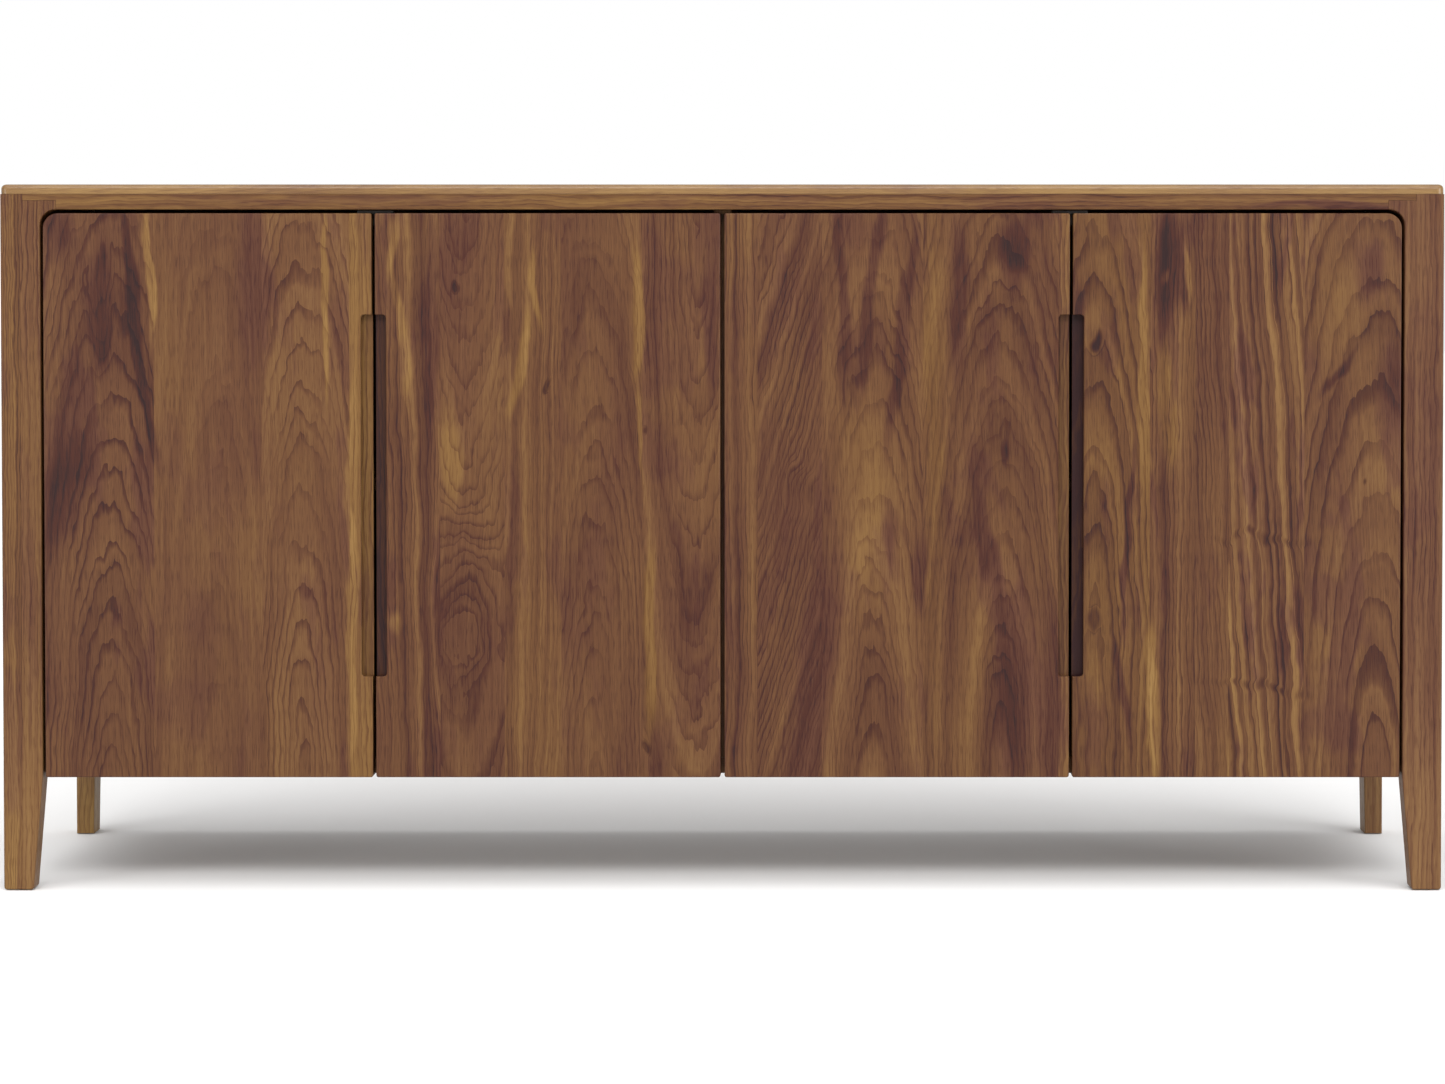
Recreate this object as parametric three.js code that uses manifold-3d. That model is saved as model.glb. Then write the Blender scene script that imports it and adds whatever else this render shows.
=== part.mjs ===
// A walnut sideboard buffet: a four-legged case with a lapped front frame, four flush doors on hidden
// pivot hinges, a centre partition and one adjustable shelf on each side.
// Millimetres, +Z up, -Y is the front. The origin is on the floor, under the middle of the case.

import * as THREE from 'three';
import { mergeVertices } from 'three/addons/utils/BufferGeometryUtils.js';
import Module from 'manifold-3d';

const wasm = await Module();
wasm.setup();

// ---- driving dimensions ----

const WIDTH = 1829;
const DEPTH = 470;
const HEIGHT = 898;
const GAP = 0.3; // left between pieces that touch

// top
const TOP_EDGE = 12; // thickness of the top where it shows
const TOP_FIELD = 20; // thickness inside the frame
const TOP_ROUND = 6;
const TOP_CORNER = 9;

// front frame
const POST_WIDTH = 50;
const POST_DEPTH = 32;
const RAIL_HEIGHT = 20;
const LAP_HEIGHT = 8; // upper part of the rail, which runs out over the post heads
const FILLET = 20; // rounded inner corner of the frame
const FOOT_WIDTH = 38;
const FOOT_ROUND = 4;
const FRAME_EASE = 2;
const LEFT_LAP = 28.5; // where the rail's upper part ends, from the outer face
const RIGHT_LAP = 36;
const LEFT_HEAD = 71; // where the post's head ends, from the outer face
const RIGHT_HEAD = 71;

// back legs
const BACK_LEG_WIDTH = 27;
const BACK_FOOT_WIDTH = 24;
const BACK_LEG_DEPTH = 42;

// case
const SIDE_THICK = 20;
const SIDE_RECESS = 2;
const CASE_BOTTOM = 146.5;
const BOTTOM_THICK = 20;
const PARTITION_THICK = 22;
const CASE_SETBACK = 25.5; // from the frame's front to the case's front edges
const SWING_RELIEF = 33; // the bottom's corners stand back here, where the outer doors' edges swing
const BACK_THICK = 6;
const BACK_RECESS = 3;
const BACK_RAIL_HEIGHT = 40;
const BACK_RAIL_THICK = 20;
const CLEAT_DEPTH = 31;

// doors
const DOOR_THICK = 22;
const DOOR_RECESS = 1;
const DOOR_BOTTOM = 144.5;
const TOP_GAP = 4.5;
const SIDE_GAP = 3.5;
const PAIR_GAP = 4;
const CENTRE_GAP = 5;
const OUTER_DOOR = 416.5;
const DOOR_EASE = 1.5;
const DOOR_ARRIS = 2.5; // radius of the square corners, seen from the front
const DOOR_CORNER = 19;

// finger grips
const GRIP_WIDTH = 14;
const GRIP_DEPTH = 12;
const GRIP_LOW = 273;
const GRIP_HIGH = 733;
const GRIP_CORNER = 4.5;
const GRIP_CHAMFER = 0.8;
const GRIP_UNDERCUT = 5;
const GRIP_LIP = 4.5;

// hinges
// The pin's axis, from the door's hinge edge and front face. The outer doors turn further in, so that
// they swing clear of the frame's rounded corners, and the inner ones close to the partition's edge.
const OUTER_PIVOT = { into: 16, behind: 11 };
const INNER_PIVOT = { into: 7.5, behind: 7 };
const HINGE_INSET = 80; // from the door's ends to the hinges
const PIN_RADIUS = 2;
const PIN_LENGTH = 16.5;
const EYE_RADIUS = 4;
const ARM_HALF = 3;
const ARM_THICK = 3.5;
const SLOT_HEIGHT = 4.5;
const SLOT_SKIN = 2.2; // wood left in front of a hinge slot
const WEB_SETBACK = 3.2; // from the case's front to an arm's web, clear of the open door's edge
const WEB_DEPTH = 6;
const FLANGE_THICK = 2.2;
const FLANGE_LENGTH = 34;
const FLANGE_HEIGHT = 40;
const SCREW_HOLE = 2.2;

// shelves
const SHELF_THICK = 18;
const SHELF_TOP = 523;
const SHELF_FRONT = 65; // from the frame's front
const SHELF_PLAY = 1.2;
const PEG_RADIUS = 2.5;
const PEG_DEPTH = 8;
const PEG_REACH = 9;
const PEG_COLLAR = 4;
const PEG_HOLE_PITCH = 48;
const PEG_ROWS = 2; // spare holes above and below the shelf
const PEG_INSET = 50; // from the shelf's front and back edges

// catches and feet
const CATCH = { width: 46, depth: 16, height: 20 };
const STRIKE = { width: 20, thick: 1.5, height: 13 };
const GLIDE_THICK = 2;
const GLIDE_PROUD = 1;
const FRONT_GLIDE = 11;
const BACK_GLIDE = 9;

// ---- places worked out from them ----

const HALF = WIDTH / 2;
const FRONT = -DEPTH / 2;
const BACK = DEPTH / 2;
const FRAME_TOP = HEIGHT - TOP_EDGE;
const RAIL_BOTTOM = FRAME_TOP - RAIL_HEIGHT;
const LAP_BOTTOM = FRAME_TOP - LAP_HEIGHT;
const POST_BACK = FRONT + POST_DEPTH;
const OPENING = HALF - POST_WIDTH;
const SIDE_OUTER = HALF - SIDE_RECESS;
const SIDE_INNER = SIDE_OUTER - SIDE_THICK;
const BACK_LEG_FRONT = BACK - BACK_LEG_DEPTH;
const BACK_LEG_INNER = HALF - BACK_LEG_WIDTH;
const BACK_PANEL_FRONT = BACK - BACK_RECESS - BACK_THICK;
const FLOOR = CASE_BOTTOM + BOTTOM_THICK; // the cupboard's floor
const FIELD_UNDER = HEIGHT - TOP_FIELD;
const CASE_FRONT = FRONT + CASE_SETBACK;
const DOOR_FRONT = FRONT + DOOR_RECESS;
const DOOR_BACK = DOOR_FRONT + DOOR_THICK;
const DOOR_TOP = RAIL_BOTTOM - TOP_GAP;
const PARTITION_HALF = PARTITION_THICK / 2;
const SHELF_FRONT_Y = FRONT + SHELF_FRONT;
const SHELF_BACK_Y = BACK_LEG_FRONT - SHELF_PLAY;
const LEG_START = GLIDE_PROUD;

// ---- finishes ----

const finish = (color, roughness, metalness) => new THREE.MeshStandardMaterial({ color, roughness, metalness });
const walnut = finish(0x7b553b, 0.5, 0);
const walnutLight = finish(0x92683f, 0.5, 0);
const walnutDark = finish(0x684433, 0.5, 0);
const steel = finish(0x3b3733, 0.4, 0.9);
const plastic = finish(0x2b2826, 0.6, 0);
const felt = finish(0x55483c, 0.95, 0);

// ---- helpers ----

// Turns a closed geometry into a solid that can be cut and joined.
function solid(geometry) {
  const bare = geometry.clone();
  bare.deleteAttribute('normal');
  bare.deleteAttribute('uv');
  const welded = mergeVertices(bare);
  return new wasm.Manifold(new wasm.Mesh({
    numProp: 3,
    vertProperties: welded.attributes.position.array,
    triVerts: new Uint32Array(welded.index.array),
  }));
}

// The world directions of a shape's own x, y and extrusion, for a shape drawn in each view.
const VIEWS = {
  front: [new THREE.Vector3(1, 0, 0), new THREE.Vector3(0, 0, 1), new THREE.Vector3(0, -1, 0)],
  side: [new THREE.Vector3(0, 1, 0), new THREE.Vector3(0, 0, 1), new THREE.Vector3(1, 0, 0)],
  plan: [new THREE.Vector3(1, 0, 0), new THREE.Vector3(0, 1, 0), new THREE.Vector3(0, 0, 1)],
};

// Extrudes a shape drawn in a view from one depth to another, with its end edges rounded by ease. Each
// arc in the shape gets two straight steps per unit of curve.
function extrude(view, shape, low, high, { ease = 0, easeSteps = 2, curve = 1 } = {}) {
  const geometry = new THREE.ExtrudeGeometry(shape, {
    depth: high - low - 2 * ease,
    curveSegments: curve,
    bevelEnabled: ease > 0,
    bevelThickness: ease,
    bevelSize: ease,
    bevelOffset: -ease,
    bevelSegments: easeSteps,
  });
  geometry.translate(0, 0, ease);
  geometry.applyMatrix4(new THREE.Matrix4().makeBasis(...VIEWS[view]));
  const start = VIEWS[view][2].clone().multiplyScalar(view === 'front' ? -high : low);
  geometry.translate(start.x, start.y, start.z);
  return solid(geometry);
}

// A rectangle with a radius at each corner: lower left, lower right, upper right, upper left.
function panel(x0, y0, x1, y1, radii = [0, 0, 0, 0]) {
  const [lowLeft, lowRight, highRight, highLeft] = radii;
  const shape = new THREE.Shape();
  shape.moveTo(x0 + lowLeft, y0);
  shape.lineTo(x1 - lowRight, y0);
  if (lowRight) shape.absarc(x1 - lowRight, y0 + lowRight, lowRight, -Math.PI / 2, 0);
  shape.lineTo(x1, y1 - highRight);
  if (highRight) shape.absarc(x1 - highRight, y1 - highRight, highRight, 0, Math.PI / 2);
  shape.lineTo(x0 + highLeft, y1);
  if (highLeft) shape.absarc(x0 + highLeft, y1 - highLeft, highLeft, Math.PI / 2, Math.PI);
  shape.lineTo(x0, y0 + lowLeft);
  if (lowLeft) shape.absarc(x0 + lowLeft, y0 + lowLeft, lowLeft, Math.PI, 1.5 * Math.PI);
  return shape;
}

const even = (radius) => [radius, radius, radius, radius];

function polygon(points) {
  return new THREE.Shape(points.map(([x, y]) => new THREE.Vector2(x, y)));
}

// A block between two corners. A pair given high to low is put in order, so that sides can be mirrored.
function block([x0, x1], [y0, y1], [z0, z1]) {
  const geometry = new THREE.BoxGeometry(Math.abs(x1 - x0), Math.abs(y1 - y0), Math.abs(z1 - z0));
  geometry.translate((x0 + x1) / 2, (y0 + y1) / 2, (z0 + z1) / 2);
  return solid(geometry);
}

// A round bar along X, Y or Z, from one place along that axis to another.
function bar(axis, radius, [a, b], low, high, sides = 10) {
  const geometry = new THREE.CylinderGeometry(radius, radius, high - low, sides);
  const middle = (low + high) / 2;
  if (axis === 'x') geometry.rotateZ(Math.PI / 2).translate(middle, a, b);
  if (axis === 'y') geometry.translate(a, middle, b);
  if (axis === 'z') geometry.rotateX(Math.PI / 2).translate(a, b, middle);
  return solid(geometry);
}

const sideboard = new THREE.Group();

function add(name, shape, material) {
  const { vertProperties, triVerts } = shape.getMesh();
  const geometry = new THREE.BufferGeometry();
  geometry.setAttribute('position', new THREE.BufferAttribute(vertProperties, 3));
  geometry.setIndex(new THREE.BufferAttribute(triVerts, 1));
  geometry.computeVertexNormals();
  const mesh = new THREE.Mesh(geometry, material);
  mesh.name = name;
  sideboard.add(mesh);
}

const SIDES = [['left', -1], ['right', 1]];

// ---- the front frame: one outline, parted along the lapped joints ----

// The frame seen from the front: two tapered legs, and an opening with rounded upper corners. It runs
// above the frame's top, so that the cut there stays sharp under the top panel.
function frameOutline() {
  const above = FRAME_TOP + 10;
  const shape = new THREE.Shape();
  shape.moveTo(-HALF, above);
  shape.lineTo(-HALF, LEG_START + FOOT_ROUND);
  shape.absarc(-HALF + FOOT_ROUND, LEG_START + FOOT_ROUND, FOOT_ROUND, Math.PI, 1.5 * Math.PI);
  shape.lineTo(-HALF + FOOT_WIDTH - FOOT_ROUND, LEG_START);
  shape.absarc(-HALF + FOOT_WIDTH - FOOT_ROUND, LEG_START + FOOT_ROUND, FOOT_ROUND, -Math.PI / 2, 0);
  shape.lineTo(-OPENING, DOOR_BOTTOM);
  shape.lineTo(-OPENING, RAIL_BOTTOM - FILLET);
  shape.absarc(-OPENING + FILLET, RAIL_BOTTOM - FILLET, FILLET, Math.PI, Math.PI / 2, true);
  shape.lineTo(OPENING - FILLET, RAIL_BOTTOM);
  shape.absarc(OPENING - FILLET, RAIL_BOTTOM - FILLET, FILLET, Math.PI / 2, 0, true);
  shape.lineTo(OPENING, DOOR_BOTTOM);
  shape.lineTo(HALF - FOOT_WIDTH, LEG_START + FOOT_ROUND);
  shape.absarc(HALF - FOOT_WIDTH + FOOT_ROUND, LEG_START + FOOT_ROUND, FOOT_ROUND, Math.PI, 1.5 * Math.PI);
  shape.lineTo(HALF - FOOT_ROUND, LEG_START);
  shape.absarc(HALF - FOOT_ROUND, LEG_START + FOOT_ROUND, FOOT_ROUND, -Math.PI / 2, 0);
  shape.lineTo(HALF, above);
  return shape;
}

// The space that the rail takes in the frame, grown by a gap on every side.
function railSpace(grow) {
  const y = [FRONT - 5, POST_BACK + 5];
  const lower = block([-HALF + LEFT_HEAD - grow, HALF - RIGHT_HEAD + grow], y,
    [RAIL_BOTTOM - 5, LAP_BOTTOM + 1]);
  const upper = block([-HALF + LEFT_LAP - grow, HALF - RIGHT_LAP + grow], y,
    [LAP_BOTTOM - grow, FRAME_TOP - GAP]);
  return lower.add(upper);
}

function glideRecess(x, y, radius) {
  return bar('z', radius + GAP, [x, y], LEG_START - 1, GLIDE_THICK + GAP, 16);
}

const frame = extrude('front', frameOutline(), FRONT, POST_BACK, { ease: FRAME_EASE, easeSteps: 3, curve: 4 })
  .subtract(block([-HALF - 1, HALF + 1], [FRONT - 5, POST_BACK + 5], [FRAME_TOP - GAP, FRAME_TOP + 20]));
add('front_rail', frame.intersect(railSpace(0)), walnutLight);

const posts = frame.subtract(railSpace(GAP));
for (const [side, sign] of SIDES) {
  const half = block([0, sign * (HALF + 5)], [FRONT - 5, POST_BACK + 5], [-5, HEIGHT]);
  const foot = [sign * (HALF - FOOT_WIDTH / 2), FRONT + POST_DEPTH / 2];
  add(`front_leg_${side}`, posts.intersect(half).subtract(glideRecess(...foot, FRONT_GLIDE)), walnut);
  add(`glide_front_${side}`, bar('z', FRONT_GLIDE, foot, 0, GLIDE_THICK, 16), felt);
}

// ---- top, rails and back legs ----

const topBlank = extrude('plan', panel(-HALF, FRONT, HALF, BACK, even(TOP_CORNER)),
  HEIGHT - 2 * TOP_EDGE, HEIGHT, { ease: TOP_ROUND, easeSteps: 5, curve: 3 });
const topEdge = topBlank.intersect(
  block([-HALF - 1, HALF + 1], [FRONT - 1, BACK + 1], [FRAME_TOP, HEIGHT + 1]),
);
const topField = block([-BACK_LEG_INNER + 1, BACK_LEG_INNER - 1],
  [POST_BACK + GAP, BACK_PANEL_FRONT - BACK_RAIL_THICK - GAP], [FIELD_UNDER, FRAME_TOP + 1]);
add('top_panel', topEdge.add(topField), walnutLight);

add('back_rail', block([-BACK_LEG_INNER + GAP, BACK_LEG_INNER - GAP],
  [BACK_PANEL_FRONT - BACK_RAIL_THICK, BACK_PANEL_FRONT - GAP],
  [FRAME_TOP - BACK_RAIL_HEIGHT, FRAME_TOP - GAP]), walnutDark);

// A back leg seen from the front, for the right side: its outer face is straight, its inner one tapers.
function backLegOutline() {
  return polygon([
    [HALF - BACK_FOOT_WIDTH, LEG_START],
    [HALF, LEG_START],
    [HALF, FRAME_TOP + 10],
    [BACK_LEG_INNER, FRAME_TOP + 10],
    [BACK_LEG_INNER, DOOR_BOTTOM],
  ]);
}

const backLegBlank = extrude('front', backLegOutline(), BACK_LEG_FRONT, BACK, { ease: FRAME_EASE })
  .subtract(block([0, HALF + 5], [BACK_LEG_FRONT - 5, BACK + 5], [FRAME_TOP - GAP, FRAME_TOP + 20]));
for (const [side, sign] of SIDES) {
  const foot = [sign * (HALF - BACK_FOOT_WIDTH / 2), BACK - BACK_LEG_DEPTH / 2];
  const leg = sign > 0 ? backLegBlank : backLegBlank.mirror([1, 0, 0]);
  add(`back_leg_${side}`, leg.subtract(glideRecess(...foot, BACK_GLIDE)), walnut);
  add(`glide_back_${side}`, bar('z', BACK_GLIDE, foot, 0, GLIDE_THICK, 16), felt);
}

// ---- the case ----

const pegHeights = [];
for (let row = -PEG_ROWS; row <= PEG_ROWS; row += 1) {
  pegHeights.push(SHELF_TOP - SHELF_THICK - GAP - PEG_RADIUS + row * PEG_HOLE_PITCH);
}
const pegPlaces = [SHELF_FRONT_Y + PEG_INSET, SHELF_BACK_Y - PEG_INSET];

// The shelf pegs' holes in a wall: from its face, a peg's depth into it.
function pegHoles(wall, face, into) {
  const [low, high] = [face - into, face + into * (PEG_DEPTH + GAP)].sort((a, b) => a - b);
  let cut = wall;
  for (const y of pegPlaces) {
    for (const z of pegHeights) cut = cut.subtract(bar('x', PEG_RADIUS + GAP, [y, z], low, high, 8));
  }
  return cut;
}

for (const [side, sign] of SIDES) {
  const outline = panel(POST_BACK + GAP, CASE_BOTTOM, BACK_LEG_FRONT - GAP, FRAME_TOP - GAP);
  const [low, high] = [sign * SIDE_OUTER, sign * SIDE_INNER].sort((a, b) => a - b);
  add(`side_panel_${side}`, pegHoles(extrude('side', outline, low, high), sign * SIDE_INNER, sign), walnut);
  add(`hinge_cleat_${side}`, block([sign * (SIDE_INNER - GAP), sign * OPENING],
    [POST_BACK + GAP, POST_BACK + CLEAT_DEPTH], [FLOOR + GAP, FIELD_UNDER - GAP]), walnutDark);
  add(`back_panel_${side}`, block([sign * (BACK_LEG_INNER - GAP), sign * GAP],
    [BACK_PANEL_FRONT, BACK_PANEL_FRONT + BACK_THICK], [CASE_BOTTOM, FRAME_TOP - GAP]), walnutDark);
}

// The bottom panel fits between the sides, with its corners cut round the four legs. Its front corners
// also stand clear of the outer doors' hinge edges, which swing back past the case's front.
const bottomOutline = polygon([
  [-OPENING + SWING_RELIEF, CASE_FRONT], [OPENING - SWING_RELIEF, CASE_FRONT],
  [OPENING - SWING_RELIEF, POST_BACK + GAP], [SIDE_INNER - GAP, POST_BACK + GAP],
  [SIDE_INNER - GAP, BACK_LEG_FRONT - GAP], [BACK_LEG_INNER - GAP, BACK_LEG_FRONT - GAP],
  [BACK_LEG_INNER - GAP, BACK_PANEL_FRONT - GAP], [-BACK_LEG_INNER + GAP, BACK_PANEL_FRONT - GAP],
  [-BACK_LEG_INNER + GAP, BACK_LEG_FRONT - GAP], [-SIDE_INNER + GAP, BACK_LEG_FRONT - GAP],
  [-SIDE_INNER + GAP, POST_BACK + GAP], [-OPENING + SWING_RELIEF, POST_BACK + GAP],
]);
add('bottom_panel', extrude('plan', bottomOutline, CASE_BOTTOM, FLOOR), walnut);

// The partition passes under both rails and meets the thick field of the top between them.
const railBackFace = BACK_PANEL_FRONT - BACK_RAIL_THICK - GAP;
const partitionOutline = polygon([
  [CASE_FRONT, FLOOR + GAP], [BACK_PANEL_FRONT - GAP, FLOOR + GAP],
  [BACK_PANEL_FRONT - GAP, FRAME_TOP - BACK_RAIL_HEIGHT - GAP],
  [railBackFace, FRAME_TOP - BACK_RAIL_HEIGHT - GAP],
  [railBackFace, FIELD_UNDER - GAP], [POST_BACK + GAP, FIELD_UNDER - GAP],
  [POST_BACK + GAP, RAIL_BOTTOM - GAP], [CASE_FRONT, RAIL_BOTTOM - GAP],
]);
const partition = extrude('side', partitionOutline, -PARTITION_HALF, PARTITION_HALF);
add('centre_partition', pegHoles(pegHoles(partition, PARTITION_HALF, -1), -PARTITION_HALF, 1), walnut);

// ---- shelves and their pegs ----

// A peg lies along X: its shank is in the wall, its collar stops it there and its end carries the shelf.
function shelfPeg(face, outward, y) {
  const z = pegHeights[PEG_ROWS];
  const span = (a, b) => [face + outward * a, face + outward * b].sort((p, q) => p - q);
  const shank = bar('x', PEG_RADIUS, [y, z], ...span(-PEG_DEPTH, PEG_REACH));
  const collar = bar('x', PEG_COLLAR, [y, z], ...span(GAP, 1.5));
  const headroom = block(span(0, 2), [y - PEG_COLLAR, y + PEG_COLLAR], [z + PEG_RADIUS, z + 2 * PEG_COLLAR]);
  return shank.add(collar.subtract(headroom));
}

for (const [side, sign] of SIDES) {
  const inner = sign * (PARTITION_HALF + SHELF_PLAY);
  const outer = sign * (SIDE_INNER - SHELF_PLAY);
  const outline = panel(SHELF_FRONT_Y, SHELF_TOP - SHELF_THICK, SHELF_BACK_Y, SHELF_TOP, [2, 0, 0, 2]);
  add(`shelf_${side}`, extrude('side', outline, Math.min(inner, outer), Math.max(inner, outer)), walnut);
  const walls = [['inner', sign * PARTITION_HALF, sign], ['outer', sign * SIDE_INNER, -sign]];
  for (const [wall, face, outward] of walls) {
    pegPlaces.forEach((y, i) => {
      add(`shelf_pin_${side}_${wall}_${i ? 'back' : 'front'}`, shelfPeg(face, outward, y), steel);
    });
  }
}

// ---- doors ----

// Each door by the sideways sign of its half, and the sign that leads from its hinge edge into the door.
const outerEdge = OPENING - SIDE_GAP;
const DOORS = [];
for (const [side, sign] of SIDES) {
  DOORS.push({
    name: `outer_${side}`, hinge: sign * outerEdge, free: sign * (outerEdge - OUTER_DOOR),
    inward: -sign, fixing: sign * OPENING, corner: DOOR_CORNER, pivot: OUTER_PIVOT,
  });
  DOORS.push({
    name: `inner_${side}`, hinge: sign * CENTRE_GAP / 2, free: sign * (outerEdge - OUTER_DOOR - PAIR_GAP),
    inward: sign, fixing: sign * PARTITION_HALF, corner: 0, pivot: INNER_PIVOT,
  });
}

// Where a door's upright hinge axis is, seen from above.
function pivotAxis({ hinge, inward, pivot }) {
  return [hinge + inward * pivot.into, DOOR_FRONT + pivot.behind];
}

const hingeHeights = [['low', DOOR_BOTTOM + HINGE_INSET], ['high', DOOR_TOP - HINGE_INSET]];

// Half a finger grip, cut into the door's free edge: a pocket, widened under a lip, with chamfered edges.
function gripCut(free, outward) {
  const past = free + outward * 5;
  const pocket = (width, low, high, inset = 0) => {
    const edge = free - outward * width;
    const bottom = GRIP_LOW + inset;
    const top = GRIP_HIGH - inset;
    const r = GRIP_CORNER;
    const outline = outward > 0
      ? panel(edge, bottom, past, top, [r, 0, 0, r])
      : panel(past, bottom, edge, top, [0, r, r, 0]);
    return extrude('front', outline, low, high, { curve: 2 });
  };
  const chamfer = new THREE.ExtrudeGeometry(
    outward > 0
      ? panel(free - GRIP_WIDTH, GRIP_LOW, past, GRIP_HIGH, [GRIP_CORNER, 0, 0, GRIP_CORNER])
      : panel(past, GRIP_LOW, free + GRIP_WIDTH, GRIP_HIGH, [0, GRIP_CORNER, GRIP_CORNER, 0]),
    {
      depth: 3, curveSegments: 2, bevelThickness: GRIP_CHAMFER, bevelSize: GRIP_CHAMFER, bevelSegments: 1,
    },
  );
  chamfer.applyMatrix4(new THREE.Matrix4().makeBasis(...VIEWS.front));
  chamfer.translate(0, DOOR_FRONT, 0);
  return pocket(GRIP_WIDTH, DOOR_FRONT - 2, DOOR_FRONT + GRIP_DEPTH)
    .add(pocket(GRIP_WIDTH + GRIP_UNDERCUT, DOOR_FRONT + GRIP_LIP, DOOR_FRONT + GRIP_DEPTH, 1))
    .add(solid(chamfer));
}

// The slot that an arm's eye swings in, open to the door's hinge edge and back, and the pin's hole.
function hingeCut(plan, z) {
  const { hinge, inward, pivot } = plan;
  const slot = block([hinge - inward * 2, hinge + inward * (pivot.into + EYE_RADIUS + 0.8)],
    [DOOR_FRONT + SLOT_SKIN, DOOR_BACK + 1], [z - SLOT_HEIGHT / 2, z + SLOT_HEIGHT / 2]);
  const reach = PIN_LENGTH / 2 + GAP;
  return slot.add(bar('z', PIN_RADIUS + GAP, pivotAxis(plan), z - reach, z + reach));
}

function door(plan) {
  const left = Math.min(plan.hinge, plan.free);
  const right = Math.max(plan.hinge, plan.free);
  const round = plan.corner || DOOR_ARRIS;
  const tops = plan.hinge < plan.free ? [DOOR_ARRIS, round] : [round, DOOR_ARRIS];
  const outline = panel(left, DOOR_BOTTOM, right, DOOR_TOP, [DOOR_ARRIS, DOOR_ARRIS, ...tops]);
  const rounding = { ease: DOOR_EASE, easeSteps: 3, curve: plan.corner ? 4 : 1 };
  let cut = extrude('front', outline, DOOR_FRONT, DOOR_BACK, rounding)
    .subtract(gripCut(plan.free, plan.inward));
  for (const [, z] of hingeHeights) cut = cut.subtract(hingeCut(plan, z));
  return cut;
}

// A hinge arm: an eye round the pin, a flat arm to behind the door, and a flange against the case.
function hingeArm(plan, z) {
  const { inward, fixing } = plan;
  const [pivot, pivotY] = pivotAxis(plan);
  const half = ARM_THICK / 2;
  const near = fixing + inward * GAP;
  const far = near + inward * FLANGE_THICK;
  const webBack = CASE_FRONT + WEB_SETBACK + WEB_DEPTH;
  const arm = block([pivot - ARM_HALF, pivot + ARM_HALF], [pivotY, CASE_FRONT - GAP - 0.5],
    [z - half, z + half]);
  const web = block([near, pivot + inward * ARM_HALF], [CASE_FRONT + WEB_SETBACK, webBack],
    [z - half, z + half]);
  const neck = block([Math.max(near * inward, (pivot - inward * ARM_HALF) * inward) * inward,
    pivot + inward * ARM_HALF], [CASE_FRONT - 2, webBack], [z - half, z + half]);
  const flange = block([near, far], [CASE_FRONT, CASE_FRONT + FLANGE_LENGTH],
    [z - FLANGE_HEIGHT / 2, z + FLANGE_HEIGHT / 2]);
  let shape = bar('z', EYE_RADIUS, [pivot, pivotY], z - half, z + half, 14)
    .add(arm).add(neck).add(web).add(flange)
    .subtract(bar('z', PIN_RADIUS + GAP, [pivot, pivotY], z - 5, z + 5));
  const span = [near - 1, far + 1, far - 1, near + 1];
  for (const away of [-12, 12]) {
    shape = shape.subtract(bar('x', SCREW_HOLE, [CASE_FRONT + FLANGE_LENGTH - 10, z + away],
      Math.min(...span), Math.max(...span), 8));
  }
  return shape;
}

for (const plan of DOORS) {
  add(`door_${plan.name}`, door(plan), walnut);
  for (const [level, z] of hingeHeights) {
    add(`hinge_arm_${plan.name}_${level}`, hingeArm(plan, z), steel);
    add(`hinge_pin_${plan.name}_${level}`,
      bar('z', PIN_RADIUS, pivotAxis(plan), z - PIN_LENGTH / 2, z + PIN_LENGTH / 2), steel);
  }
}

// ---- catches ----

for (const [side, sign] of SIDES) {
  const middle = sign * (outerEdge - OUTER_DOOR - PAIR_GAP / 2);
  const front = DOOR_BACK + GAP + STRIKE.thick + GAP;
  const top = RAIL_BOTTOM - GAP;
  const body = extrude('plan', panel(middle - CATCH.width / 2, front, middle + CATCH.width / 2,
    front + CATCH.depth, even(2)), top - CATCH.height, top, { ease: 1, easeSteps: 1 });
  add(`catch_${side}`, body, plastic);
  for (const plan of DOORS.filter((each) => each.name.endsWith(side))) {
    const near = plan.free - plan.inward * 2;
    const far = near - plan.inward * STRIKE.width;
    const z = top - CATCH.height / 2 - 2.5;
    const half = STRIKE.height / 2;
    const outline = panel(Math.min(near, far), z - half, Math.max(near, far), z + half, even(2));
    add(`strike_${plan.name}`, extrude('front', outline, DOOR_BACK + GAP, DOOR_BACK + GAP + STRIKE.thick)
      .subtract(bar('y', 1.6, [(near + far) / 2, z], DOOR_BACK, DOOR_BACK + 5)), steel);
  }
}

export default sideboard;
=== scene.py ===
# %% [markdown]
# # A walnut sideboard
# The case, the four doors and their hinges come from a solid model, already in place. This lesson gives
# them their finish: walnut whose figure runs through glued boards, bronzed steel, moulded catches and
# felt. It adds the small hardware that a cabinet maker fits last, and a plain studio to look at it in.

# %% Load the frame
import math
import random
from collections import namedtuple

import bmesh
import bpy
from mathutils import Matrix, Vector


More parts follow.
